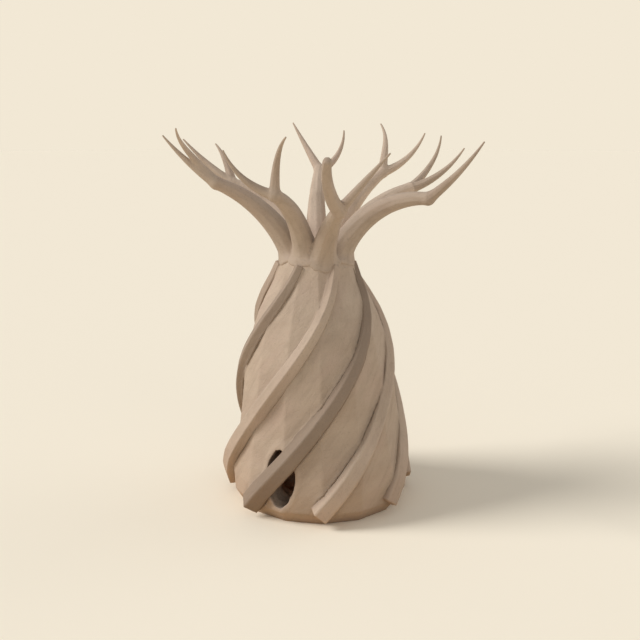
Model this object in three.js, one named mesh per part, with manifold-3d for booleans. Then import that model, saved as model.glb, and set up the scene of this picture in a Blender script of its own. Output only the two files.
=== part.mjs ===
// A leafless baobab: a bottle-shaped trunk with a hollow at its foot, seven ridges that wind round it, and
// eight boughs at its neck that each fork into two branches.
// Millimetres, +Z up, the ground at z = 0, the middle of the foot at the origin, the front towards -Y.
// Bearings are degrees from +X towards +Y. Pitches are degrees above level.

import * as THREE from 'three';
import { mergeVertices } from 'three/addons/utils/BufferGeometryUtils.js';
import Module from 'manifold-3d';

const wasm = await Module();
wasm.setup();

// ---- Driving dimensions ----

const FIT_GAP = 0.35; // left between two pieces that touch
const MERGE_DISTANCE = 1e-3; // vertices closer than this are one

// The trunk: a cut foot, a chamfer, a barrel that narrows to the neck, and a low dome that the boughs sit on.
const FOOT_RADIUS = 3120;
const BARREL = [ // [height, radius]
  [450, 3390],
  [1400, 3420],
  [2400, 3270],
  [3400, 3090],
  [4500, 2960],
  [5600, 2800],
  [6600, 2560],
  [7500, 2230],
  [8300, 1830],
  [8900, 1520],
  [9400, 1330],
];
const BARREL_STEPS = 13;
const DOME = { rise: 420, shoulderRadius: 0.6, shoulderRise: 0.75 }; // the shoulder in parts of neck and rise
const TRUNK_SIDES = 14;
const TRUNK_TURN = 1.5; // how far the front corner stands round from the front, in degrees
const NECK_HEIGHT = BARREL.at(-1)[0];
const LEAN = { neck: -120, power: 1.5 }; // how far the neck stands off the foot's middle, along X

// The hollow: an upright oval mouth through the wall, and a chamber behind it.
const HOLLOW = {
  bearing: -116,
  height: 1700,
  mouthHalfWidth: 600,
  mouthHalfHeight: 1080,
  chamberFromAxis: 1500,
  chamberRadii: [1150, 950, 1250], // inwards, sideways, upwards
  chamberHeight: 1780,
  reach: 4370, // from the axis to where the cutter ends, clear of the bark
  mouthSides: 20,
  chamberSides: [16, 10], // round, and from pole to pole
};

// The ridges: five-sided beams sunk in the bark, thicker towards the foot. Each winds from its own bearing at
// the neck through its own turn, starts with one edge towards its own bearing, and is carried down untwisted.
// A ridge that has darkened with age names its own bark in BARK.
const RIDGE = {
  top: 9220,
  bottom: 480,
  topRadius: 190,
  bottomRadius: 465,
  sides: 5,
  steps: 20,
  sunk: 40, // how far the middle lies inside the bark
  aside: -35, // how far the ridges' axis stands off the trunk's, towards +X
};
const TANGENT_STEP = 0.01; // how far along a ridge its direction is measured, each way
const RIDGES = [
  { from: 191, turn: -129, edge: 180, bark: 'agedRidge' },
  { from: 245, turn: -126.5, edge: 306, bark: 'oldRidge' },
  { from: 300, turn: -127.5, edge: 270 },
  { from: 350, turn: -127.8, edge: 334, bark: 'darkRidge' },
  { from: 395, turn: -124.3, edge: 410 },
  { from: 441, turn: -121, edge: 444, sunk: 140 },
  { from: 490, turn: -122, edge: 500 },
];

// The limbs: each starts out on its first bearing and pitch and turns evenly to its last. A branch has the
// radii in BRANCH unless it gives its own.
const BOUGH = { seatFromAxis: 740, seatHeight: 9120, baseRadius: 500, endRadius: 200, sides: 10, steps: 7 };
const BRANCH = { baseRadius: 180, endRadius: 28, sides: 7, steps: 7 };

const BOUGHS = [
  {
    name: 'front',
    seat: -77,
    bearing: [-77, -77],
    pitch: [62, 20],
    length: 3640,
    branches: [
      { bearing: [-115, -84], pitch: [32, 37], length: 3120, baseRadius: 250, endRadius: 130 },
      { bearing: [-30, -29], pitch: [48, 45], length: 2670 },
    ],
  },
  {
    name: 'front_right',
    seat: -24,
    bearing: [-12, -34],
    pitch: [74, -2],
    length: 4790,
    branches: [
      { bearing: [-6, -7], pitch: [37, 56], length: 2720 },
      { bearing: [-46, -43], pitch: [33, 47], length: 2450 },
    ],
  },
  {
    name: 'right',
    seat: 20,
    bearing: [14, 25],
    pitch: [70, 13],
    length: 4300,
    branches: [
      { bearing: [-3, -4], pitch: [17, 57], length: 2580 },
      { bearing: [65, -10], pitch: [13, 86], length: 2770 },
    ],
  },
  {
    name: 'back_right',
    seat: 52,
    bearing: [68, 34],
    pitch: [57, 30],
    length: 4750,
    branches: [
      { bearing: [13, 11], pitch: [16, 66], length: 2420 },
      { bearing: [54, 115], pitch: [77, 36], length: 2330 },
    ],
  },
  {
    name: 'back',
    seat: 89,
    bearing: [95, 82],
    pitch: [62, 40],
    length: 4290,
    branches: [
      { bearing: [132, 132], pitch: [47, 50], length: 2490 },
      { bearing: [46, 25], pitch: [9, 92], length: 2210 },
    ],
  },
  {
    name: 'back_left',
    seat: 149,
    bearing: [117, 174],
    pitch: [65, 18],
    length: 4450,
    branches: [
      { bearing: [163, 163], pitch: [33, 46], length: 2670 },
      { bearing: [119, 122], pitch: [62, 27], length: 2170 },
    ],
  },
  {
    name: 'left',
    seat: 191,
    bearing: [187, 194],
    pitch: [71, 21],
    length: 4430,
    branches: [
      { bearing: [185, 186], pitch: [34, 51], length: 2500 },
      { bearing: [169, 274], pitch: [50, 41], length: 2720 },
    ],
  },
  {
    name: 'front_left',
    seat: 242,
    bearing: [246, 240],
    pitch: [79, 22],
    length: 3790,
    branches: [
      { bearing: [174, 203], pitch: [15, 67], length: 2390 },
      { bearing: [284, 291], pitch: [89, 21], length: 2550 },
    ],
  },
];

const BARK = {
  trunk: 0x9f8a76,
  ridge: 0xa8927d,
  agedRidge: 0xa08b77,
  oldRidge: 0x988471,
  darkRidge: 0x887665,
  bough: 0x958170,
  branch: 0x9b8775,
};
const BARK_ROUGHNESS = 0.9;

// ---- Helpers: closed meshes in and out of the solid modeller ----

const radians = THREE.MathUtils.degToRad;
const mix = THREE.MathUtils.lerp;

function solidOf(geometry) {
  const bare = geometry.clone();
  bare.deleteAttribute('normal');
  bare.deleteAttribute('uv');
  const merged = mergeVertices(bare, MERGE_DISTANCE);
  return new wasm.Manifold(new wasm.Mesh({
    numProp: 3,
    vertProperties: Float32Array.from(merged.attributes.position.array),
    triVerts: Uint32Array.from(merged.index.array),
  }));
}

function geometryOf(solid) {
  const { vertProperties, triVerts } = solid.getMesh();
  const geometry = new THREE.BufferGeometry();
  geometry.setAttribute('position', new THREE.BufferAttribute(vertProperties, 3));
  geometry.setIndex(new THREE.BufferAttribute(triVerts, 1));
  geometry.computeVertexNormals();
  return geometry;
}

function mainBody(solid) {
  return solid.decompose().reduce((largest, body) => (body.volume() > largest.volume() ? body : largest));
}

// A cylinder carried along stations, each with its middle, two cross axes and a radius.
function sweep(stations, sides) {
  const steps = stations.length - 1;
  const geometry = new THREE.CylinderGeometry(1, 1, 1, sides, steps);
  const position = geometry.attributes.position;
  for (let i = 0; i < position.count; i++) {
    const station = stations[Math.round((position.getY(i) + 0.5) * steps)];
    const point = station.middle.clone()
      .addScaledVector(station.across, position.getX(i) * station.radius)
      .addScaledVector(station.outward, position.getZ(i) * station.radius);
    position.setXYZ(i, point.x, point.y, point.z);
  }
  return solidOf(geometry);
}

// ---- The trunk ----

const barrelRadius = new THREE.CubicInterpolant(
  BARREL.map(([height]) => height),
  BARREL.map(([, radius]) => radius),
  1,
);

function trunkRadius(height) {
  return barrelRadius.evaluate(THREE.MathUtils.clamp(height, BARREL[0][0], NECK_HEIGHT))[0];
}

function trunkMiddle(height) {
  return LEAN.neck * (Math.max(height, 0) / NECK_HEIGHT) ** LEAN.power;
}

// The trunk without its hollow, grown sideways and upwards by the given amount.
function trunkBody(grow) {
  const profile = [new THREE.Vector2(0, 0), new THREE.Vector2(FOOT_RADIUS + grow, 0)];
  for (let i = 0; i <= BARREL_STEPS; i++) {
    const height = mix(BARREL[0][0], NECK_HEIGHT, i / BARREL_STEPS);
    profile.push(new THREE.Vector2(trunkRadius(height) + grow, height));
  }
  profile.push(new THREE.Vector2(
    trunkRadius(NECK_HEIGHT) * DOME.shoulderRadius + grow,
    NECK_HEIGHT + DOME.rise * DOME.shoulderRise + grow,
  ));
  profile.push(new THREE.Vector2(0, NECK_HEIGHT + DOME.rise + grow));
  const geometry = new THREE.LatheGeometry(profile, TRUNK_SIDES);
  geometry.rotateX(Math.PI / 2).rotateZ(radians(TRUNK_TURN));
  const position = geometry.attributes.position;
  for (let i = 0; i < position.count; i++) {
    position.setX(i, position.getX(i) + trunkMiddle(position.getZ(i)));
  }
  return solidOf(geometry);
}

// Turns a shape that points along +Y towards the hollow's bearing, at a distance from the trunk's axis.
function placeInHollow(geometry, fromAxis, height) {
  geometry.translate(0, fromAxis, height);
  geometry.rotateZ(radians(HOLLOW.bearing - 90));
  return solidOf(geometry);
}

function hollow() {
  const depth = HOLLOW.reach - HOLLOW.chamberFromAxis;
  const mouth = new THREE.CylinderGeometry(1, 1, depth, HOLLOW.mouthSides);
  mouth.scale(HOLLOW.mouthHalfWidth, 1, HOLLOW.mouthHalfHeight);
  const chamber = new THREE.SphereGeometry(1, ...HOLLOW.chamberSides);
  const [inwards, sideways, upwards] = HOLLOW.chamberRadii;
  chamber.rotateX(Math.PI / 2).scale(sideways, inwards, upwards);
  return placeInHollow(mouth, HOLLOW.chamberFromAxis + depth / 2, HOLLOW.height)
    .add(placeInHollow(chamber, HOLLOW.chamberFromAxis, HOLLOW.chamberHeight));
}

// ---- The ridges ----

function ridgePoint({ from, turn, sunk = RIDGE.sunk }, t) {
  const height = mix(RIDGE.top, RIDGE.bottom, t);
  const angle = radians(from + turn * t);
  const radius = trunkRadius(height) - sunk;
  return new THREE.Vector3(
    trunkMiddle(height) + RIDGE.aside + radius * Math.cos(angle),
    radius * Math.sin(angle),
    height,
  );
}

function ridge(path) {
  const stations = [];
  const edge = radians(path.edge);
  const outward = new THREE.Vector3(Math.cos(edge), Math.sin(edge), 0);
  let before;
  for (let i = 0; i <= RIDGE.steps; i++) {
    const t = i / RIDGE.steps;
    const along = ridgePoint(path, t + TANGENT_STEP).sub(ridgePoint(path, t - TANGENT_STEP)).normalize();
    if (before) {
      outward.applyQuaternion(new THREE.Quaternion().setFromUnitVectors(before, along));
    }
    outward.projectOnPlane(along).normalize();
    stations.push({
      middle: ridgePoint(path, t),
      outward: outward.clone(),
      across: along.clone().cross(outward),
      radius: mix(RIDGE.topRadius, RIDGE.bottomRadius, t),
    });
    before = along;
  }
  return sweep(stations, RIDGE.sides);
}

// ---- The boughs and branches ----

// The stations of a limb that starts at a point and turns evenly from its first direction to its last.
// They are grown all round, and past both ends, by the given amount.
function limbStations({ start, bearing, pitch, length }, { baseRadius, endRadius, steps }, grow) {
  const stations = [];
  const middle = start.clone();
  for (let i = 0; i <= steps; i++) {
    const t = i / steps;
    const turn = radians(mix(...bearing, t));
    const rise = radians(mix(...pitch, t));
    const along = new THREE.Vector3(
      Math.cos(rise) * Math.cos(turn),
      Math.cos(rise) * Math.sin(turn),
      Math.sin(rise),
    );
    const across = new THREE.Vector3(-Math.sin(turn), Math.cos(turn), 0);
    const halfStep = length / steps / 2;
    if (i > 0) middle.addScaledVector(along, halfStep);
    const endGrowth = { 0: -grow, [steps]: grow }[i] ?? 0;
    stations.push({
      middle: middle.clone().addScaledVector(along, endGrowth),
      across,
      outward: across.clone().cross(along),
      radius: mix(baseRadius, endRadius, t) + grow,
    });
    middle.addScaledVector(along, halfStep);
  }
  return stations;
}

function boughStations(bough, grow) {
  const seat = radians(bough.seat);
  const start = new THREE.Vector3(
    trunkMiddle(NECK_HEIGHT) + BOUGH.seatFromAxis * Math.cos(seat),
    BOUGH.seatFromAxis * Math.sin(seat),
    BOUGH.seatHeight,
  );
  return limbStations({ ...bough, start }, BOUGH, grow);
}

function boughBody(bough, grow) {
  return sweep(boughStations(bough, grow), BOUGH.sides);
}

// A branch starts in the middle of its bough's end.
function branchBody(bough, branch, grow) {
  const start = boughStations(bough, 0).at(-1).middle;
  return sweep(limbStations({ ...branch, start }, { ...BRANCH, ...branch }, grow), BRANCH.sides);
}

// ---- The tree ----

const tree = new THREE.Group();

function addPiece(name, solid, color) {
  const material = new THREE.MeshStandardMaterial({ color, roughness: BARK_ROUGHNESS, metalness: 0 });
  const mesh = new THREE.Mesh(geometryOf(solid), material);
  mesh.name = name;
  tree.add(mesh);
}

addPiece('trunk', trunkBody(0).subtract(hollow()), BARK.trunk);

// Each piece is trimmed to clear the trunk and the limbs that are already in place.
let placed = trunkBody(FIT_GAP);

for (const bough of BOUGHS) {
  addPiece(`bough_${bough.name}`, mainBody(boughBody(bough, 0).subtract(placed)), BARK.bough);
  placed = placed.add(boughBody(bough, FIT_GAP));
}

RIDGES.forEach((path, i) => {
  addPiece(`spiral_ridge_${i + 1}`, mainBody(ridge(path).subtract(placed)), BARK[path.bark ?? 'ridge']);
});

for (const bough of BOUGHS) {
  bough.branches.forEach((branch, i) => {
    const body = mainBody(branchBody(bough, branch, 0).subtract(placed));
    addPiece(`branch_${bough.name}_${i + 1}`, body, BARK.branch);
    placed = placed.add(branchBody(bough, branch, FIT_GAP));
  });
}

export default tree;
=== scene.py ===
import math
from collections import namedtuple

import bmesh
import bpy
import numpy as np
from mathutils import Color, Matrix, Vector, noise


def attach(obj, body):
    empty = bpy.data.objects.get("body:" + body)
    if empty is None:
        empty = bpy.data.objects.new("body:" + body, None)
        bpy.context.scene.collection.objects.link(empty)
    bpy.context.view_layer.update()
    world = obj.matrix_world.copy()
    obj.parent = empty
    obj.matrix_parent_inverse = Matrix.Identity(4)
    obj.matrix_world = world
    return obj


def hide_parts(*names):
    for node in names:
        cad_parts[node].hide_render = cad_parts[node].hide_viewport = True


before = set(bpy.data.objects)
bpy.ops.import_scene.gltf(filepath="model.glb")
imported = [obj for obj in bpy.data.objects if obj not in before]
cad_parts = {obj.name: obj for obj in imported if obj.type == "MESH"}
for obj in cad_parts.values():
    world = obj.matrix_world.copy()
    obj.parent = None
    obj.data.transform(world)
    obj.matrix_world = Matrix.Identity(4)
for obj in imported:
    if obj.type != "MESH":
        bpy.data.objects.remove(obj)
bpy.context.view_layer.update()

# A leafless baobab. The trunk, its seven ridges, its boughs and its branches each get a mesh with the bark's
# relief, grown together where they meet, and a bark that follows the grain of the wood.
# Metres and degrees. Bearings run from +X towards +Y, pitches above level, and the front is towards -Y.

# ---- Driving sizes ----

TRUNK_FACES = 14  # broad flat faces round the trunk
FIRST_CORNER = -88.5  # bearing of one corner between two of them
MOST_LEAN = 0.3  # no ring of the trunk stands further than this off the middle of the foot
SHOULDER = (8.5, 9.1)  # between these heights the trunk's outline rounds in under the boughs
SHOULDER_REACH = 0.3  # over this much height up and down
SHOULDER_STEPS = 13
SMOOTH_NECK = (8.6, 9.2)  # between these heights the trunk's bark loses its relief
NECK_WITHOUT_SHADE = (8.5, 9.0)  # and between these the painted shade along its ridges fades out

HOLLOW = {
    "bearing": -116,
    "height": 1.70,  # of the middle of the mouth
    "mouth": (0.60, 1.08),  # half width, half height
    "chamber_from_axis": 1.50,
    "chamber": (1.15, 0.95, 1.25),  # inwards, sideways, upwards
    "chamber_height": 1.78,
    "front": 4.2,  # the cut starts this far out, in front of the bark
}
LIP = 1.12  # where the raised lip runs, as a share of the mouth's size
LIP_WIDTH = 0.14
LIP_CALM = 0.8  # the share of the bark's relief that the lip smooths away

RIDGE = {
    "top": 9.22,
    "bottom": 0.48,
    "radii": (0.19, 0.465),
    "faces": 5,
    "aside": -0.035,  # how far the ridges' axis stands off the trunk's
    "inset": 0.8,  # the solid part stops this far short of a full round end, in radii
}
# The bearing at the top, the turn on the way down, the bearing of one edge at the top, the depth in the
# trunk's bark, and how far the ridge's own bark has darkened with age.
Ridge = namedtuple("Ridge", "first turn edge sunk aged")
RIDGES = [
    Ridge(191, -129, 180, 0.04, 0.26),
    Ridge(245, -126.5, 306, 0.04, 0.47),
    Ridge(300, -127.5, 270, 0.04, 0.11),
    Ridge(350, -127.8, 334, 0.04, 0.64),
    Ridge(395, -124.3, 410, 0.04, 0.05),
    Ridge(441, -121, 444, 0.14, 0.13),
    Ridge(490, -122, 500, 0.04, 0.08),
]

BOUGH_SEAT = {"from_axis": 0.74, "height": 9.12}
BOUGH_RADII = (0.50, 0.20)
BOUGH_FACES = 10
BRANCH_RADII = (0.18, 0.028)
BRANCH_FACES = 7

REACH = {  # how far the rounding spreads where two pieces grow together
    "ridge": 0.025,  # a ridge and the trunk
    "neck": 0.13,  # a bough and the trunk
    "crown": 0.06,  # two boughs
    "fork": 0.035,  # a bough and its branches
}
RELIEF_HEIGHT = {"trunk": 0.011, "lip": 0.03, "ridge": 0.006, "bough": 0.012, "branch": 0.006}
BARK_THICKNESS = 0.02  # that the limbs' bark stands out over the CAD

# Rings along each kind of piece, and spokes for each flat face round it.
RINGS = {"trunk": 196, "dome": 14, "cavity": 70, "ridge": 260, "bough": 120, "branch": 84}
SPOKES = {"trunk": 28, "ridge": 9, "bough": 6, "branch": 5}
CAVITY_SPOKES = 84
CAP_RINGS = 6  # rings that round off each end
FLAT_ENDS, BLUNT_ENDS, ROUND_ENDS = (0, 0), (0.15, 0.15), (1, 0.6)  # how far each end bulges, in radii
EDGE_ROUNDING = 0.015  # of a section's corners, in radians
BONES = 14  # straight lengths that a tube is measured by
FAR = 9.0  # the gap that stands for no neighbour at all

# A limb turns evenly from its first bearing and pitch to its last.
Limb = namedtuple("Limb", "bearing pitch length radii", defaults=[BRANCH_RADII])
Bough = namedtuple("Bough", "seat stem branches")

BOUGHS = {
    "front": Bough(-77, Limb((-77, -77), (62, 20), 3.64, BOUGH_RADII), [
        Limb((-115, -84), (32, 37), 3.12, (0.25, 0.13)),
        Limb((-30, -29), (48, 45), 2.67),
    ]),
    "front_right": Bough(-24, Limb((-12, -34), (74, -2), 4.79, BOUGH_RADII), [
        Limb((-6, -7), (37, 56), 2.72),
        Limb((-46, -43), (33, 47), 2.45),
    ]),
    "right": Bough(20, Limb((14, 25), (70, 13), 4.30, BOUGH_RADII), [
        Limb((-3, -4), (17, 57), 2.58),
        Limb((65, -10), (13, 86), 2.77),
    ]),
    "back_right": Bough(52, Limb((68, 34), (57, 30), 4.75, BOUGH_RADII), [
        Limb((13, 11), (16, 66), 2.42),
        Limb((54, 115), (77, 36), 2.33),
    ]),
    "back": Bough(89, Limb((95, 82), (62, 40), 4.29, BOUGH_RADII), [
        Limb((132, 132), (47, 50), 2.49),
        Limb((46, 25), (9, 92), 2.21),
    ]),
    "back_left": Bough(149, Limb((117, 174), (65, 18), 4.45, BOUGH_RADII), [
        Limb((163, 163), (33, 46), 2.67),
        Limb((119, 122), (62, 27), 2.17),
    ]),
    "left": Bough(191, Limb((187, 194), (71, 21), 4.43, BOUGH_RADII), [
        Limb((185, 186), (34, 51), 2.50),
        Limb((169, 274), (50, 41), 2.72),
    ]),
    "front_left": Bough(242, Limb((246, 240), (79, 22), 3.79, BOUGH_RADII), [
        Limb((174, 203), (15, 67), 2.39),
        Limb((284, 291), (89, 21), 2.55),
    ]),
}

# How much darker the bark of each bough and of its branches is set: 0 is fair, 1 is as dark as the painted
# shade in crevices.
LIMB_DARKNESS = {
    "front": (0.35, 0.38),
    "front_right": (0.36, 0.45),
    "right": (0.0, 0.32),
    "back_right": (0.0, 0.12),
    "back": (0.14, 0.24),
    "back_left": (0.14, 0.28),
    "left": (0.33, 0.22),
    "front_left": (0.34, 0.38),
}


# ---- Small sums on arrays of points ----

CLOUD_STEP = np.array([11.3, -7.1, 5.9])  # from one seed's noise to the next seed's
SPOT_STEP = np.array([3.7, 9.2, -4.4])
FRACTAL = (1.0, 2.0)  # how fast its finer waves weaken, and how much shorter each is


def mix(first, last, share):
    return first + (last - first) * share


def smooth(low, high, value):
    """0 below low, 1 above high, and an even curve between them."""
    share = np.clip((value - low) / (high - low), 0, 1)
    return share * share * (3 - 2 * share)


def unit(vectors):
    return vectors / np.maximum(np.linalg.norm(vectors, axis=-1, keepdims=True), 1e-9)


def fractal(points, scale, octaves, seed):
    """Cloudy noise at each point, about -1 to 1. scale is in waves per metre along X, Y and Z."""
    shift = CLOUD_STEP * (seed + 1)
    return np.array([noise.fractal(p, *FRACTAL, octaves) for p in (points * scale + shift).tolist()])


def spots(points, scale, seed):
    """The distance from each point to the nearest of many scattered places, in spacings."""
    shift = SPOT_STEP * (seed + 1)
    return np.array([noise.voronoi(p)[0][0] for p in (points * scale + shift).tolist()])


# ---- Shapes that the pieces are grown from ----

def from_lines(points, joints):
    """How far each point lies from each straight line between joints, and how far along it in shares."""
    start, span = joints[:-1], np.diff(joints, axis=0)
    from_start = points[:, None] - start
    share = np.clip((from_start * span).sum(2) / (span * span).sum(1), 0, 1)
    return np.linalg.norm(from_start - share[..., None] * span, axis=2), share


class Tube:
    """A middle line with its cross axes and a radius at each ring."""

    def __init__(self, points, along, outward, radius, inset=0.0):
        """inset is how far the solid part stops short of a full round end, in radii."""
        self.points = points
        self.along = along
        self.outward = outward
        self.across = np.cross(along, outward)
        self.radius = radius
        picks = np.linspace(0, len(points) - 1, BONES + 1).round().astype(int)
        self.joints = points[picks].copy()
        self.joints[0] += along[0] * radius[0] * inset
        self.joints[-1] -= along[-1] * radius[-1] * inset
        self.thickness = radius[picks]

    def distance(self, points):
        """How far each point lies outside the round tube."""
        away, share = from_lines(points, self.joints)
        return (away - mix(self.thickness[:-1], self.thickness[1:], share)).min(axis=1)


SAME_HEIGHT = 5e-4  # corners no further apart in height are in one ring
SLOPE_STEP = 0.05  # up and down, to take the outline's slope over
DOME_DEPTH = 0.6  # the dome's own distance starts this far below the neck
OUTLINE_DEPTH = 1.4  # and its outline this far
OUTLINE_LEVELS = 40


class Trunk:
    """The rings of the CAD trunk: its radius and lean at each height, up to the dome over the neck."""

    def __init__(self, node):
        corners = np.array([vert.co for vert in node.data.vertices])
        rings = []
        for height in np.unique(corners[:, 2].round(3)):
            ring = np.unique(corners[abs(corners[:, 2] - height) < SAME_HEIGHT].round(4), axis=0)[:, :2]
            middle = (ring.min(axis=0) + ring.max(axis=0)) / 2
            whole = len(ring) >= TRUNK_FACES - 2 or height == corners[:, 2].max().round(3)
            if whole and abs(middle).max() < MOST_LEAN:
                rings.append((height, middle[0], np.linalg.norm(ring - middle, axis=1).max()))
        self.heights, self.lean, self.radii = np.array(rings).T

    def radius(self, height):
        return np.interp(height, self.heights, self.radii)

    def middle(self, height):
        return np.interp(height, self.heights, self.lean)

    def distance(self, points):
        """How far each point lies outside the trunk."""
        height = points[:, 2]
        slope = (self.radius(height + SLOPE_STEP) - self.radius(height - SLOPE_STEP)) / (2 * SLOPE_STEP)
        side = np.hypot(points[:, 0] - self.middle(height), points[:, 1])
        out = (side - self.radius(height)) / np.hypot(1, slope)
        high = height > NECK - DOME_DEPTH
        if high.any():
            out[high] = self.distance_from_dome(side[high], height[high])
        return out

    def distance_from_dome(self, side, height):
        """The true distance near the neck, where the outline turns in too steeply for its slope to serve."""
        levels = np.linspace(NECK - OUTLINE_DEPTH, self.heights[-1], OUTLINE_LEVELS)
        outline = np.column_stack([self.radius(levels), levels])
        away = from_lines(np.column_stack([side, height]), outline)[0].min(axis=1)
        within = (height < self.heights[-1]) & (side < self.radius(height))
        return np.where(within, -away, away)


TRUNK = Trunk(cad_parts["trunk"])
NECK = TRUNK.heights[-3]  # the two above it are the dome's


def limb_tube(start, limb, rings):
    """A tube that leaves its start and turns evenly along the limb's length."""
    share = np.linspace(0, 1, rings)
    turn = np.radians(mix(*limb.bearing, share))
    rise = np.radians(mix(*limb.pitch, share))
    along = np.stack([np.cos(rise) * np.cos(turn), np.cos(rise) * np.sin(turn), np.sin(rise)], axis=1)
    across = np.stack([-np.sin(turn), np.cos(turn), 0 * turn], axis=1)
    strides = (along[1:] + along[:-1]) * limb.length / (rings - 1) / 2
    points = start + np.vstack([np.zeros(3), strides.cumsum(axis=0)])
    radius = mix(*limb.radii, share)
    return Tube(points, along, np.cross(across, along), radius)


def ridge_tube(ridge, rings):
    """A tube that winds down the trunk's surface."""
    share = np.linspace(0, 1, rings)
    height = mix(RIDGE["top"], RIDGE["bottom"], share)
    angle = np.radians(ridge.first + ridge.turn * share)
    radius = TRUNK.radius(height) - ridge.sunk
    middle = TRUNK.middle(height) + RIDGE["aside"]
    points = np.stack([middle + radius * np.cos(angle), radius * np.sin(angle), height], axis=1)
    along = unit(np.gradient(points, axis=0))
    edge = math.radians(ridge.edge)
    start = np.array([math.cos(edge), math.sin(edge), 0])
    outward = [Vector(unit(start - along[0] * (start @ along[0])))]
    for before, after in zip(along, along[1:]):  # carried down without a twist
        outward.append(Vector(before).rotation_difference(Vector(after)) @ outward[-1])
    return Tube(points, along, np.array(outward), mix(*RIDGE["radii"], share), inset=RIDGE["inset"])


# ---- Meshes ----

def unit_tube(sides, rings):
    """A closed tube round Z, one unit between its rings, with a pole in the middle of each end."""
    bm = bmesh.new()
    bmesh.ops.create_grid(bm, x_segments=sides, y_segments=rings - 1, size=0.5)
    for vert in bm.verts:
        turn = math.tau * (vert.co.x + 0.5)
        vert.co = (math.sin(turn), math.cos(turn), (vert.co.y + 0.5) * (rings - 1))
    bmesh.ops.remove_doubles(bm, verts=bm.verts, dist=1e-4)
    for row in (0, rings - 1):
        end = [vert for vert in bm.verts if abs(vert.co.z - row) < 0.5]
        bmesh.ops.pointmerge(bm, verts=end, merge_co=(0, 0, row))
    return bm


def face_outwards(bm):
    bmesh.ops.recalc_face_normals(bm, faces=bm.faces)
    if bm.calc_volume(signed=True) < 0:
        bmesh.ops.reverse_faces(bm, faces=bm.faces)


def corners_of(mesh):
    flat = np.empty(len(mesh.vertices) * 3)
    mesh.vertices.foreach_get("co", flat)
    return flat.reshape(-1, 3)


def normals_of(mesh):
    flat = np.empty(len(mesh.vertices) * 3)
    mesh.vertex_normals.foreach_get("vector", flat)
    return flat.reshape(-1, 3)


def move_to(mesh, points):
    mesh.vertices.foreach_set("co", points.ravel())
    mesh.update()


def from_corner(turn, faces):
    """How far each turn is past the nearest corner of a many-faced section."""
    half = math.pi / faces
    return (turn + half) % (2 * half) - half


def section(turn, faces, sharpness):
    """The radius of a many-faced section at each turn: 1 at its corners, which are rounded a little."""
    def flat(at):
        half = math.pi / faces
        return math.cos(half) / np.cos(half - abs(from_corner(at, faces)))
    faceted = (flat(turn - EDGE_ROUNDING) + 2 * flat(turn) + flat(turn + EDGE_ROUNDING)) / 4
    return mix(1.0, faceted, sharpness)


def cap_rows(depth, rings):
    """The share of the radius, and how far out in radii, of the rings that round off an end to its pole."""
    angle = np.linspace(math.pi / 2, 0, rings + 1)[1:]
    return np.sin(angle), depth * np.cos(angle)


# In reaches: how far outside and inside a neighbour a surface still feels it, how deep inside it still swells
# in full, and how far it can swell.
OUTER_REACH, INNER_REACH, FULL_REACH, MOST_SWELL = 5, 2, 0.7, 1.8
HALVINGS = 8  # steps to each vertex's place on the union
LEAST_POWER, MOST_POWER = -30, 12  # keep a neighbour's pull a sound number


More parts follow.
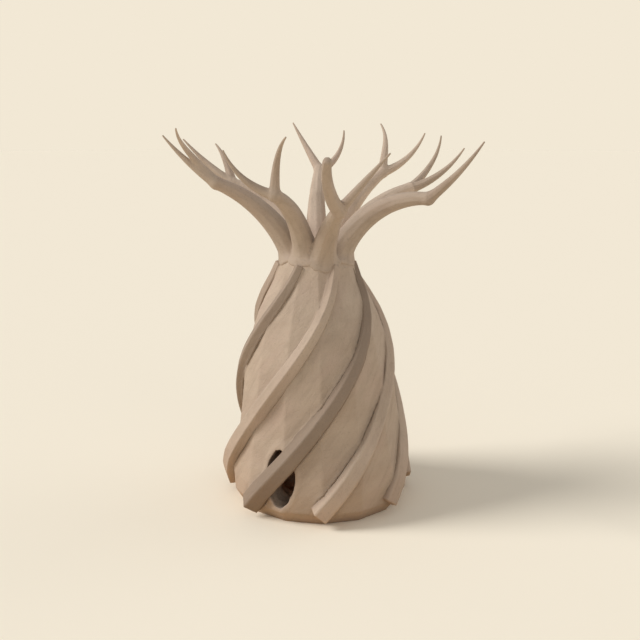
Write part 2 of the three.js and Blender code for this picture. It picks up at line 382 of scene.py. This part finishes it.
class Piece:
    """A tube's mesh, with each vertex's place round and along the tube."""

    def __init__(self, name, tube, sides, faces, sharpness, caps):
        """caps are how far the first and the last end bulge, in radii."""
        (first_share, first_out), (last_share, last_out) = [cap_rows(depth, CAP_RINGS) for depth in caps]
        body = np.arange(len(tube.points))
        rows = np.concatenate([[0] * CAP_RINGS, body, [-1] * CAP_RINGS])
        share = np.concatenate([first_share[::-1], np.ones(len(body)), last_share])
        out = np.concatenate([-first_out[::-1], np.zeros(len(body)), last_out])
        middles = tube.points[rows]
        radius = tube.radius[rows]
        centres = middles + tube.along[rows] * (out * radius)[:, None]
        runs = np.concatenate([[0], np.linalg.norm(np.diff(centres, axis=0), axis=1).cumsum()])
        bm = unit_tube(sides, len(rows))
        self.mesh = bpy.data.meshes.new(name)
        bm.to_mesh(self.mesh)
        bm.free()
        place = corners_of(self.mesh)
        row = place[:, 2].round().astype(int)
        self.turn = np.arctan2(place[:, 0], place[:, 1])
        self.run = runs[row]
        self.radius = radius[row]
        pole = np.linalg.norm(place[:, :2], axis=1) < 0.5
        wide = np.where(pole, 0, radius[row] * share[row] * section(self.turn, faces, sharpness))
        sine, cosine = np.sin(self.turn), np.cos(self.turn)
        cross = tube.across[rows][row] * sine[:, None] + tube.outward[rows][row] * cosine[:, None]
        self.middles = middles[row]
        offset = centres[row] + cross * wide[:, None] - self.middles
        self.size = np.linalg.norm(offset, axis=1)
        self.spoke = unit(offset)
        self.grain = np.column_stack([wide * sine, wide * cosine, self.run])
        self.nearby = np.full(len(row), FAR)
        self.body = (share[row] == 1) & ~pole

    def points(self):
        return self.middles + self.spoke * self.size[:, None]

    def grow_into(self, others, reach, chosen=None):
        """Swells the surface along its spokes to its rounded union with its neighbours. What is deep inside
        them stays."""
        points = self.points()
        gap = np.min([other.distance(points) for other in others], axis=0)
        self.nearby = np.minimum(self.nearby, gap)
        near = (gap < OUTER_REACH * reach) & (gap > -INNER_REACH * reach)
        if chosen is not None:
            near &= chosen
        start, spoke, middles = self.size[near], self.spoke[near], self.middles[near]
        low, high = start, start + MOST_SWELL * reach
        for _ in range(HALVINGS):
            tried = (low + high) / 2
            at = middles + spoke * tried[:, None]
            pull = np.exp(-(tried - start) / reach)
            for other in others:
                pull = pull + np.exp(np.clip(-other.distance(at) / reach, LEAST_POWER, MOST_POWER))
            inside = pull > 1
            low = np.where(inside, tried, low)
            high = np.where(inside, high, tried)
        self.size[near] = mix(start, low, smooth(-INNER_REACH * reach, -FULL_REACH * reach, gap[near]))

    def raise_bark(self, relief):
        """Moves the surface along its normals by the given heights, and makes it the mesh."""
        points = self.points()
        move_to(self.mesh, points)
        bm = bmesh.new()
        bm.from_mesh(self.mesh)
        face_outwards(bm)
        bm.to_mesh(self.mesh)
        bm.free()
        points = points + normals_of(self.mesh) * relief[:, None]
        move_to(self.mesh, points)
        return points


def mark(mesh, grain, painted_shade, crest=0, inside=0, aged=0):
    """Keeps what the bark reads for each vertex: its grain, and masks from 0 to 1."""
    places = mesh.attributes.new("grain", "FLOAT_VECTOR", "POINT")
    places.data.foreach_set("vector", grain.astype(np.float32).ravel())
    masks = {"painted_shade": painted_shade, "crest": crest, "inside": inside, "aged": aged}
    for name, values in masks.items():
        flat = np.full(len(grain), values, dtype=np.float32)
        mesh.attributes.new(name, "FLOAT", "POINT").data.foreach_set("value", flat)


def finish(mesh, node, material):
    """Puts the mesh in the place of the CAD node of the same name."""
    for polygon in mesh.polygons:
        polygon.use_smooth = True
    mesh.materials.clear()
    mesh.materials.append(material)
    piece = bpy.data.objects.new(node, mesh)
    bpy.context.scene.collection.objects.link(piece)
    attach(piece, "root")
    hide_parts(node)


# ---- Bark finish ----

def feed(tree, node, inputs):
    """Gives a node a value or a link for each named input."""
    for name, value in inputs.items():
        if isinstance(value, bpy.types.NodeSocket):
            tree.links.new(value, node.inputs[name])
        else:
            node.inputs[name].default_value = value


def put(tree, kind, inputs=None, **settings):
    """Adds a node with its settings and inputs."""
    node = tree.nodes.new(kind)
    for name, value in settings.items():
        setattr(node, name, value)
    feed(tree, node, inputs or {})
    return node


def blended(tree, share, first, last):
    """The colour between two, by share."""
    return put(tree, "ShaderNodeMix", {0: share, 6: first, 7: last}, data_type="RGBA").outputs[2]


def spread(tree, value, low, high, to_low=0.0, to_high=1.0):
    inputs = {"Value": value, "From Min": low, "From Max": high, "To Min": to_low, "To Max": to_high}
    return put(tree, "ShaderNodeMapRange", inputs).outputs["Result"]


def clouds(tree, vector, scale, detail, rough):
    inputs = {"Vector": vector, "Scale": scale, "Detail": detail, "Roughness": rough}
    return put(tree, "ShaderNodeTexNoise", inputs).outputs["Fac"]


def stretched(tree, vector, scale):
    return put(tree, "ShaderNodeMapping", {"Vector": vector, "Scale": scale}).outputs["Vector"]


# A mask of clouds: their waves per metre along the grain's axes, scale, detail and roughness, the levels that
# become 0 and 1, and the most of it that shows.
Clouds = namedtuple("Clouds", "stretch scale detail rough low high most")
PATCHES = Clouds((1, 1, 1), 0.55, 5.0, 0.6, 0.3, 0.7, 1.0)
BLUSH = Clouds((0.8, 0.8, 0.35), 1.1, 3.0, 0.55, 0.45, 0.7, 0.4)
STREAKS = Clouds((3.2, 3.2, 0.3), 1.0, 4.0, 0.55, 0.52, 0.72, 0.16)
FRECKLES = Clouds((1, 1, 1), 14.0, 2.0, 0.7, 0.58, 0.7, 0.2)
CREST_SHARE, SHADE_SHARE = 0.35, 0.85  # how much of the light shows on crests, and how much of the dark shows as painted shade in crevices
PATCH_ROUGHNESS = (0.86, 0.74)  # of the middle and the light patches


def cloud_mask(tree, grain, kind):
    waves = clouds(tree, stretched(tree, grain, kind.stretch), kind.scale, kind.detail, kind.rough)
    return spread(tree, waves, kind.low, kind.high, 0.0, kind.most)


def times(tree, first, last):
    return put(tree, "ShaderNodeMath", {0: first, 1: last}, operation="MULTIPLY").outputs["Value"]


def plus(tree, first, last):
    return put(tree, "ShaderNodeMath", {0: first, 1: last}, operation="ADD").outputs["Value"]


def new_group(name, inputs, outputs):
    """A node group with named sockets. Returns its tree, its input node and its output node."""
    tree = bpy.data.node_groups.new(name, "ShaderNodeTree")
    for label, kind in inputs.items():
        tree.interface.new_socket(label, in_out="INPUT", socket_type="NodeSocket" + kind)
    for label, kind in outputs.items():
        tree.interface.new_socket(label, in_out="OUTPUT", socket_type="NodeSocket" + kind)
    return tree, tree.nodes.new("NodeGroupInput").outputs, tree.nodes.new("NodeGroupOutput").inputs


def tone_group():
    """The bark's colour: broad patches, streaks down the grain, freckles, painted shade in crevices and worn
    crests.
    """
    inputs = {
        "Grain": "Vector", "Light": "Color", "Middle": "Color", "Dark": "Color", "Blush": "Color",
        "Painted Shade": "Float", "Crest": "Float",
    }
    tree, given, result = new_group("bark_tone", inputs, {"Color": "Color", "Roughness": "Float"})
    grain = given["Grain"]
    patches = cloud_mask(tree, grain, PATCHES)
    colour = blended(tree, patches, given["Middle"], given["Light"])
    for kind, tint in ((BLUSH, "Blush"), (STREAKS, "Dark"), (FRECKLES, "Dark")):
        colour = blended(tree, cloud_mask(tree, grain, kind), colour, given[tint])
    colour = blended(tree, times(tree, given["Crest"], CREST_SHARE), colour, given["Light"])
    # Painted shade: the dark tone wherever the shade mask is set.
    colour = blended(tree, times(tree, given["Painted Shade"], SHADE_SHARE), colour, given["Dark"])
    tree.links.new(colour, result["Color"])
    tree.links.new(spread(tree, patches, 0.0, 1.0, *PATCH_ROUGHNESS), result["Roughness"])
    return tree


WRINKLE_WAVES = (1.6, 1.6, 13.0)  # per metre along the grain's axes
CRACK_CELLS = (5.0, 5.0, 1.3)
PORE_WAVES = 24.0
CRACK_WIDTH = 0.09  # as a share of the space between cracks
CRACK_DEPTH, PORE_DEPTH = 0.8, 0.6  # beside wrinkles of 1


def relief_group():
    """The height of the fine bark: wrinkles across the grain, cracks along it and pores."""
    tree, given, result = new_group("bark_relief", {"Grain": "Vector"}, {"Height": "Float"})
    grain = given["Grain"]
    wrinkles = clouds(tree, stretched(tree, grain, WRINKLE_WAVES), scale=1.0, detail=4.0, rough=0.6)
    cells = {"Vector": stretched(tree, grain, CRACK_CELLS), "Scale": 1.0}
    from_crack = put(tree, "ShaderNodeTexVoronoi", cells, feature="DISTANCE_TO_EDGE").outputs["Distance"]
    between_cracks = spread(tree, from_crack, 0.0, CRACK_WIDTH, 0.0, CRACK_DEPTH)
    pores = times(tree, clouds(tree, grain, PORE_WAVES, detail=3.0, rough=0.7), PORE_DEPTH)
    total = plus(tree, plus(tree, wrinkles, between_cracks), pores)
    tree.links.new(total, result["Height"])
    return tree


def rgb(red, green, blue):
    """A colour given as 0 to 255 on a screen."""
    return tuple(Color((red / 255, green / 255, blue / 255)).from_srgb_to_scene_linear()) + (1.0,)


TONE = tone_group()
RELIEF = relief_group()
DARK = rgb(112, 94, 78)  # painted shade in crevices, streaks and the most darkened bark
OLD_WOOD = rgb(204, 162, 128)  # inside the hollow
GLOSS = 0.3
BUMP_HEIGHT = 0.02


def bark(name, light, middle, blush, bump):
    """Bark that reads the vertex's grain, painted shade, crest and darkening, and turns to old wood in the
    hollow.
    """
    material = bpy.data.materials.new(name)
    material.use_nodes = True
    tree = material.node_tree
    shader = tree.nodes["Principled BSDF"]
    shader.inputs["Specular IOR Level"].default_value = GLOSS
    grain = put(tree, "ShaderNodeAttribute", attribute_name="grain").outputs["Vector"]
    painted_shade, crest, inside, aged = [
        put(tree, "ShaderNodeAttribute", attribute_name=label).outputs["Fac"]
        for label in ("painted_shade", "crest", "inside", "aged")
    ]
    tone = put(tree, "ShaderNodeGroup", node_tree=TONE)
    given = {
        "Grain": grain, "Painted Shade": painted_shade, "Crest": crest,
        "Light": light, "Middle": middle, "Dark": DARK, "Blush": blush,
    }
    feed(tree, tone, given)
    relief = put(tree, "ShaderNodeGroup", node_tree=RELIEF)
    feed(tree, relief, {"Grain": grain})
    colour = blended(tree, aged, tone.outputs["Color"], DARK)
    colour = blended(tree, inside, colour, OLD_WOOD)
    bumps = {"Height": relief.outputs["Height"], "Strength": bump, "Distance": BUMP_HEIGHT}
    raised = put(tree, "ShaderNodeBump", bumps)
    tree.links.new(colour, shader.inputs["Base Color"])
    tree.links.new(tone.outputs["Roughness"], shader.inputs["Roughness"])
    tree.links.new(raised.outputs["Normal"], shader.inputs["Normal"])
    return material


# Light, middle and blush, and how strongly the fine bark shows.
TRUNK_BARK = bark("trunk_bark", rgb(192, 172, 151), rgb(176, 155, 135), rgb(190, 164, 147), 0.3)
RIDGE_BARK = bark("ridge_bark", rgb(199, 178, 157), rgb(183, 162, 142), rgb(197, 171, 154), 0.3)
BOUGH_BARK = bark("bough_bark", rgb(213, 192, 171), rgb(195, 174, 153), rgb(211, 183, 164), 0.3)
BRANCH_BARK = bark("branch_bark", rgb(212, 191, 170), rgb(195, 174, 153), rgb(210, 182, 163), 0.25)


# ---- Relief ----

WAVES = {  # per metre along the grain's axes
    "swell": (0.5, 0.5, 0.3),
    "fold": (1.15, 1.15, 0.3),
    "wrinkle": (0.8, 0.8, 5.5),
    "pit": (1.7, 1.7, 1.2),
}
FOLD_WIDTH = 0.22  # in the noise that makes the folds
PIT_EDGE = (0.1, 0.34)  # in spacings of the pits
SHARE = {"swell": 0.7, "crease": 0.4, "wrinkle": 0.2, "pit": 0.35}  # of the relief's height
CREASE_SHADE = {"trunk": 0.08, "ridge": 0.1, "limb": 0.15}  # how dark the folds are painted: painted shade
CONTACT_SHADE = 0.3  # how dark the painted shade is where two pieces touch
CONTACT_WIDTH = {"trunk": 0.07, "ridge": 0.05}  # and how far from there it spreads


def bark_relief(grain, seed):
    """Heights, about -1 to 1, of swellings, folds along the grain, wrinkles across it and pits, and how deep
    each point lies in a fold."""
    swell = fractal(grain, WAVES["swell"], 3, seed)
    fold = abs(fractal(grain, WAVES["fold"], 3, seed + 1))
    crease = (1 - np.minimum(fold / FOLD_WIDTH, 1)) ** 2
    wrinkle = fractal(grain, WAVES["wrinkle"], 2, seed + 2)
    pit = 1 - smooth(*PIT_EDGE, spots(grain, WAVES["pit"], seed))
    raised = SHARE["swell"] * swell + SHARE["wrinkle"] * wrinkle
    return raised - SHARE["crease"] * crease - SHARE["pit"] * pit, crease


def contact_shade(gap, width):
    """Painted shade beside a neighbour, by the gap to it."""
    return CONTACT_SHADE * np.exp(-np.maximum(gap, 0) / width)


# ---- Trunk ----

TWIST = math.radians(sum(ridge.turn for ridge in RIDGES) / len(RIDGES)) / (RIDGE["top"] - RIDGE["bottom"])
GRAIN_STRETCH = 1.3  # a slanting ridge is about this much longer than it is tall


def trunk_grain(points):
    """Places on the trunk with its twist undone, so that the grain runs with the ridges."""
    height = points[:, 2]
    flat = points[:, :2] - np.stack([TRUNK.middle(height), 0 * height], axis=1)
    untwist = -TWIST * (RIDGE["top"] - height)
    cos, sin = np.cos(untwist), np.sin(untwist)
    x, y = flat[:, 0] * cos - flat[:, 1] * sin, flat[:, 0] * sin + flat[:, 1] * cos
    return np.column_stack([x, y, height * GRAIN_STRETCH])


def hollow_place(points):
    """How far points lie from the trunk's axis towards the hollow, sideways of it, and up."""
    bearing = math.radians(HOLLOW["bearing"])
    towards = points[:, 0] * math.cos(bearing) + points[:, 1] * math.sin(bearing)
    sideways = points[:, 1] * math.cos(bearing) - points[:, 0] * math.sin(bearing)
    return towards, sideways, points[:, 2]


CAVITY_SLACK = 0.004  # keeps the last ring open before its pole
CAVITY_WAVES = 1.7  # of its walls, per metre
CAVITY_ROUGHNESS = 0.09


def cavity():
    """The space of the hollow, from in front of the mouth to the back of the chamber."""
    bm = unit_tube(CAVITY_SPOKES, RINGS["cavity"])
    bearing = math.radians(HOLLOW["bearing"])
    inwards, sideways, upwards = HOLLOW["chamber"]
    half_width, half_height = HOLLOW["mouth"]
    centre = HOLLOW["chamber_from_axis"]
    back = centre - inwards + CAVITY_SLACK
    for vert in bm.verts:
        from_axis = mix(HOLLOW["front"], back, vert.co.z / (RINGS["cavity"] - 1))
        bulge = max(1 - ((from_axis - centre) / inwards) ** 2, 0) ** 0.5
        width = max(half_width if from_axis > centre else 0, sideways * bulge)
        height = max(half_height if from_axis > centre else 0, upwards * bulge)
        middle = mix(HOLLOW["height"], HOLLOW["chamber_height"], bulge)
        place = Vector((vert.co.x, vert.co.y, from_axis)) * CAVITY_WAVES
        rough = 1 + CAVITY_ROUGHNESS * noise.fractal(place, *FRACTAL, 4)
        side, up = vert.co.x * width * rough, vert.co.y * height * rough
        vert.co = (
            from_axis * math.cos(bearing) - side * math.sin(bearing),
            from_axis * math.sin(bearing) + side * math.cos(bearing),
            middle + up,
        )
    face_outwards(bm)
    mesh = bpy.data.meshes.new("cavity")
    bm.to_mesh(mesh)
    bm.free()
    return mesh


def cut_out(mesh, cutter):
    """The mesh without the cutter's space."""
    body = bpy.data.objects.new("body", mesh)
    tool = bpy.data.objects.new("tool", cutter)
    for thing in (body, tool):
        bpy.context.scene.collection.objects.link(thing)
    cut = body.modifiers.new("cut", "BOOLEAN")
    cut.operation, cut.object, cut.solver = "DIFFERENCE", tool, "EXACT"
    ready = body.evaluated_get(bpy.context.evaluated_depsgraph_get())
    result = bpy.data.meshes.new_from_object(ready)
    for thing in (body, tool):
        bpy.data.objects.remove(thing)
    bpy.data.meshes.remove(cutter)
    return result


def mouth_ring(points):
    """1 on the hollow's edge, less inside it, more outside it."""
    _, sideways, height = hollow_place(points)
    half_width, half_height = HOLLOW["mouth"]
    return np.hypot(sideways / half_width, (height - HOLLOW["height"]) / half_height)


TRUNK_SEED = 1
FOOT_EDGE = 0.02  # the flat cut under the trunk stays as it is
CALM_FOOT = 0.5  # the bark's relief grows over this height
FOOT_SHADE, FOOT_SHADE_HEIGHTS = 0.3, (0.1, 0.32)  # how dark the foot is painted, as painted shade, and where that fades out
RIM_DEPTH, RIM_RING, RIM_FROM_AXIS = 0.22, 1.16, 2  # what counts as the mouth's rim
RIM_ROUNDS = 2  # of smoothing
HOLLOW_RING = 2.2  # what lies further from the mouth than this many of its sizes is outside the hollow
# Painted shade going into the hollow, and the depths over which it grows.
LIP_SHADE, LIP_DEPTHS = 0.4, (0.05, 0.16)
OLD_WOOD_DEPTHS = (0.6, 1.3)  # bark turns to bare old wood between these depths


def trunk_tube():
    """The trunk from the ground to its neck and over the dome, with its shoulder rounded."""
    dome = np.linspace(NECK, TRUNK.heights[-1], RINGS["dome"])[1:-1]
    heights = np.concatenate([np.linspace(0, NECK, RINGS["trunk"]), dome])
    points = np.stack([TRUNK.middle(heights), 0 * heights, heights], axis=1)
    along = np.tile([0.0, 0.0, 1.0], (len(heights), 1))
    bearing = math.radians(FIRST_CORNER)
    outward = np.tile([math.cos(bearing), math.sin(bearing), 0.0], (len(heights), 1))
    steps = np.linspace(-SHOULDER_REACH, SHOULDER_REACH, SHOULDER_STEPS)
    rounded = np.mean([TRUNK.radius(heights + step) for step in steps], axis=0)
    return Tube(points, along, outward, mix(TRUNK.radius(heights), rounded, smooth(*SHOULDER, heights)))


def depth_in_trunk(points):
    height = points[:, 2]
    return TRUNK.radius(height) - np.hypot(points[:, 0] - TRUNK.middle(height), points[:, 1])


def soften_rim(mesh):
    """Rounds the sharp rim that the cut leaves round the mouth."""
    bm = bmesh.new()
    bm.from_mesh(mesh)
    bm.verts.ensure_lookup_table()
    places = corners_of(mesh)
    near_bark = abs(depth_in_trunk(places)) < RIM_DEPTH
    at_mouth = (mouth_ring(places) < RIM_RING) & (hollow_place(places)[0] > RIM_FROM_AXIS)
    rim = [bm.verts[i] for i in np.flatnonzero(near_bark & at_mouth)]
    for _ in range(RIM_ROUNDS):
        bmesh.ops.smooth_vert(bm, verts=rim, factor=0.5, use_axis_x=True, use_axis_y=True, use_axis_z=True)
    bm.to_mesh(mesh)
    bm.free()


def mark_trunk(mesh, ridges):
    """Painted shade in the folds, beside the ridges, at the foot and in the lip, and old wood inside the
    hollow.
    """
    places = corners_of(mesh)
    height = places[:, 2]
    grain = trunk_grain(places)
    _, crease = bark_relief(grain, TRUNK_SEED)
    to_ridge = np.min([ridge.distance(places) for ridge in ridges], axis=0)
    # Painted shade beside the ridges, fading out towards the neck.
    beside = contact_shade(to_ridge, CONTACT_WIDTH["trunk"]) * (1 - smooth(*NECK_WITHOUT_SHADE, height))
    # Painted shade at the foot.
    foot_shade = FOOT_SHADE * (1 - smooth(*FOOT_SHADE_HEIGHTS, height))
    in_hollow = (mouth_ring(places) < HOLLOW_RING) & (hollow_place(places)[0] > 0)
    depth = np.where(in_hollow, depth_in_trunk(places), 0)
    # Painted shade going into the hollow.
    lip = LIP_SHADE * smooth(*LIP_DEPTHS, depth)
    painted_shade = np.max([CREASE_SHADE["trunk"] * crease, beside, foot_shade, lip], axis=0)
    mark(mesh, grain, painted_shade, inside=smooth(*OLD_WOOD_DEPTHS, depth))


def make_trunk(ridges, boughs):
    piece = Piece("trunk", trunk_tube(), TRUNK_FACES * SPOKES["trunk"], TRUNK_FACES, 1.0, FLAT_ENDS)
    height = piece.points()[:, 2]
    piece.grow_into(ridges, REACH["ridge"], (height > FOOT_EDGE) & (height < NECK))
    piece.grow_into(boughs, REACH["neck"])
    points = piece.points()
    relief, _ = bark_relief(trunk_grain(points), TRUNK_SEED)
    before_axis = hollow_place(points)[0] > 0
    lip = np.where(before_axis, np.exp(-((mouth_ring(points) - LIP) / LIP_WIDTH) ** 2), 0)
    calm = smooth(0.0, CALM_FOOT, height) * (1 - smooth(*SMOOTH_NECK, height)) * (1 - LIP_CALM * lip)
    piece.raise_bark(RELIEF_HEIGHT["trunk"] * relief * calm + RELIEF_HEIGHT["lip"] * lip)
    mesh = cut_out(piece.mesh, cavity())
    soften_rim(mesh)
    mark_trunk(mesh, ridges)
    finish(mesh, "trunk", TRUNK_BARK)


# ---- Ridges ----

RIDGE_SEED = 20
RIDGE_FINENESS = 1.8  # of its relief, beside the trunk's
RIDGE_RELIEF_STEP, RIDGE_GRAIN_STEP = 7.0, 5.0  # from one ridge's noise to the next ridge's
TOP_RELIEF, TOP_RUN = 0.6, 9  # the share of the relief at a ridge's top, and how far down it is in full
CREST_WIDTH = 0.2  # of the worn corners, in radians
CREST_GAP = 0.12  # a corner nearer to the trunk than this is less worn


def make_ridge(number, ridge, tube):
    name = f"spiral_ridge_{number}"
    faces = RIDGE["faces"]
    piece = Piece(name, tube, faces * SPOKES["ridge"], faces, 1.0, BLUNT_ENDS)
    piece.grow_into([TRUNK], REACH["ridge"], piece.body)
    relief, crease = bark_relief(piece.grain * RIDGE_FINENESS + number * RIDGE_RELIEF_STEP, RIDGE_SEED)
    calm = mix(TOP_RELIEF, 1.0, smooth(0, TOP_RUN, piece.run))
    points = piece.raise_bark(RELIEF_HEIGHT["ridge"] * relief * calm)
    gap = TRUNK.distance(points)
    # Painted shade in the ridge's folds and beside the trunk.
    painted_shade = np.maximum(CREASE_SHADE["ridge"] * crease, contact_shade(gap, CONTACT_WIDTH["ridge"]))
    worn = np.exp(-(from_corner(piece.turn, faces) / CREST_WIDTH) ** 2) * smooth(0.0, CREST_GAP, gap)
    mark(piece.mesh, piece.grain + number * RIDGE_GRAIN_STEP, painted_shade, crest=worn, aged=ridge.aged)
    finish(piece.mesh, name, RIDGE_BARK)


# ---- Boughs and branches ----

# fineness is that of the relief, beside the trunk's.
Kind = namedtuple("Kind", "faces spokes fineness height material slot")
BOUGH = Kind(BOUGH_FACES, SPOKES["bough"], 1.5, RELIEF_HEIGHT["bough"], BOUGH_BARK, "bough_bark")
BRANCH = Kind(BRANCH_FACES, SPOKES["branch"], 2.6, RELIEF_HEIGHT["branch"], BRANCH_BARK, "branch_bark")
LIMB_SEED = 40
LIMB_SHARPNESS = 0.9  # 1 would be as faceted as the CAD
LIMB_RELIEF_STEP, LIMB_GRAIN_STEP = 9.0, 6.0  # from one limb's noise to the next limb's
CALM_GAPS = (-0.05, 0.35)  # the relief grows with the gap to a neighbour between these
CALM_RELIEF = 0.25  # from this share
BARK_RADIUS, RELIEF_RADIUS = 0.2, 0.3  # limbs thinner than these have thinner bark and a lower relief


def make_limb(name, tube, kind, meets, number, aged):
    """meets are the groups of neighbours that the limb grows into, each with its reach."""
    piece = Piece(name, tube, kind.faces * kind.spokes, kind.faces, LIMB_SHARPNESS, ROUND_ENDS)
    for neighbours, reach in meets:
        piece.grow_into(neighbours, reach)
    relief, crease = bark_relief(piece.grain * kind.fineness + number * LIMB_RELIEF_STEP, LIMB_SEED)
    calm = mix(CALM_RELIEF, 1.0, smooth(*CALM_GAPS, piece.nearby))
    fullness = BARK_THICKNESS * smooth(0, BARK_RADIUS, piece.radius)
    piece.raise_bark(fullness + kind.height * relief * smooth(0, RELIEF_RADIUS, piece.radius) * calm)
    # Painted shade in the limb's folds.
    mark(piece.mesh, piece.grain + number * LIMB_GRAIN_STEP, CREASE_SHADE["limb"] * crease, aged=aged)
    finish(piece.mesh, name, kind.material)


def bough_tubes(bough):
    """The tubes of a bough and of the branches that fork from its end."""
    angle = math.radians(bough.seat)
    seat = BOUGH_SEAT["from_axis"]
    x, y = TRUNK.middle(NECK) + seat * math.cos(angle), seat * math.sin(angle)
    stem = limb_tube(np.array([x, y, BOUGH_SEAT["height"]]), bough.stem, RINGS["bough"])
    return stem, [limb_tube(stem.points[-1], branch, RINGS["branch"]) for branch in bough.branches]


def all_but(tubes, own):
    return [tube for tube in tubes if tube is not own]


def make_tree():
    ridges = [ridge_tube(ridge, RINGS["ridge"]) for ridge in RIDGES]
    limbs = {name: bough_tubes(bough) for name, bough in BOUGHS.items()}
    stems = [stem for stem, _ in limbs.values()]
    make_trunk(ridges, stems)
    for number, (ridge, tube) in enumerate(zip(RIDGES, ridges), 1):
        make_ridge(number, ridge, tube)
    for number, (name, (stem, branches)) in enumerate(limbs.items()):
        stem_darkness, branch_darkness = LIMB_DARKNESS[name]
        meets = [([TRUNK], REACH["neck"]), (all_but(stems, stem), REACH["crown"]), (branches, REACH["fork"])]
        make_limb(f"bough_{name}", stem, BOUGH, meets, number, stem_darkness)
        for fork, tube in enumerate(branches, 1):
            meets = [([stem] + all_but(branches, tube), REACH["fork"])]
            make_limb(f"branch_{name}_{fork}", tube, BRANCH, meets, 2 * number + fork, branch_darkness)


make_tree()


# ---- Camera, floor and light ----

CREAM = rgb(242, 232, 213)
FLOOR = (1.0, 0.909, 0.749, 1.0)  # comes out as CREAM in this light
FLOOR_RADIUS = 400
WARM = (0.78, 0.56, 0.32, 1.0)
WARM_REACH = (7.2, 8.4)  # the warm bounce fades out between these distances from the trunk
SKY_STRENGTH = 0.39

# Degrees: the width of the light in the sky, the bearing it comes from and its pitch above level.
Sun = namedtuple("Sun", "name strength width bearing pitch")
SUNS = [
    Sun("key", 2.22, 25, 184, 36.5),
    Sun("front", 0.32, 60, -75, 15),
    Sun("rim", 0.69, 60, 22, 10),
]

CAMERA = {"place": (0, -33.2, 14.5), "tilt": 77.2, "lens": 50, "sensor": 36, "far": 1000}


def shown_and_thrown(tree, shown, thrown, output):
    """One finish for the eye and another for the light that a surface or the sky gives off."""
    eye = put(tree, "ShaderNodeLightPath").outputs["Is Camera Ray"]
    both = put(tree, "ShaderNodeMixShader", {0: eye, 1: thrown.outputs[0], 2: shown.outputs[0]})
    tree.links.new(both.outputs[0], tree.nodes[output].inputs["Surface"])


def floor_finish():
    """Plain cream to the eye. The light that it throws back up is warm within a few metres of the trunk."""
    material = bpy.data.materials.new("floor")
    material.use_nodes = True
    tree = material.node_tree
    shader = tree.nodes["Principled BSDF"]
    feed(tree, shader, {"Base Color": FLOOR, "Roughness": 0.9, "Specular IOR Level": 0})
    place = put(tree, "ShaderNodeTexCoord").outputs["Object"]
    away = put(tree, "ShaderNodeVectorMath", {0: place}, operation="LENGTH").outputs["Value"]
    bounce = blended(tree, spread(tree, away, *WARM_REACH), WARM, FLOOR)
    shown_and_thrown(tree, shader, put(tree, "ShaderNodeBsdfDiffuse", {"Color": bounce}), "Material Output")
    return material


def add_floor():
    bm = bmesh.new()
    bmesh.ops.create_circle(bm, cap_ends=True, segments=96, radius=FLOOR_RADIUS)
    mesh = bpy.data.meshes.new("floor")
    bm.to_mesh(mesh)
    bm.free()
    mesh.materials.append(floor_finish())
    floor = bpy.data.objects.new("floor", mesh)
    bpy.context.scene.collection.objects.link(floor)


def add_sky():
    """White light from all round, behind a plain cream backdrop."""
    world = bpy.data.worlds.new("studio")
    world.use_nodes = True
    tree = world.node_tree
    sky = tree.nodes["Background"]
    feed(tree, sky, {"Color": (1, 1, 1, 1), "Strength": SKY_STRENGTH})
    backdrop = put(tree, "ShaderNodeBackground", {"Color": CREAM, "Strength": 1.0})
    shown_and_thrown(tree, backdrop, sky, "World Output")
    bpy.context.scene.world = world


def add_sun(sun):
    lamp = bpy.data.lights.new(sun.name, "SUN")
    lamp.energy = sun.strength
    lamp.angle = math.radians(sun.width)
    light = bpy.data.objects.new(sun.name, lamp)
    light.rotation_euler = (math.radians(90 - sun.pitch), 0, math.radians(sun.bearing + 90))
    bpy.context.scene.collection.objects.link(light)


def add_camera():
    lens = bpy.data.cameras.new("camera")
    lens.lens = CAMERA["lens"]
    lens.sensor_width = CAMERA["sensor"]
    lens.clip_end = CAMERA["far"]
    camera = bpy.data.objects.new("camera", lens)
    camera.location = CAMERA["place"]
    camera.rotation_euler = (math.radians(CAMERA["tilt"]), 0, 0)
    bpy.context.scene.collection.objects.link(camera)
    bpy.context.scene.camera = camera


add_floor()
add_sky()
for sun in SUNS:
    add_sun(sun)
add_camera()
bpy.context.scene.view_settings.view_transform = "Standard"
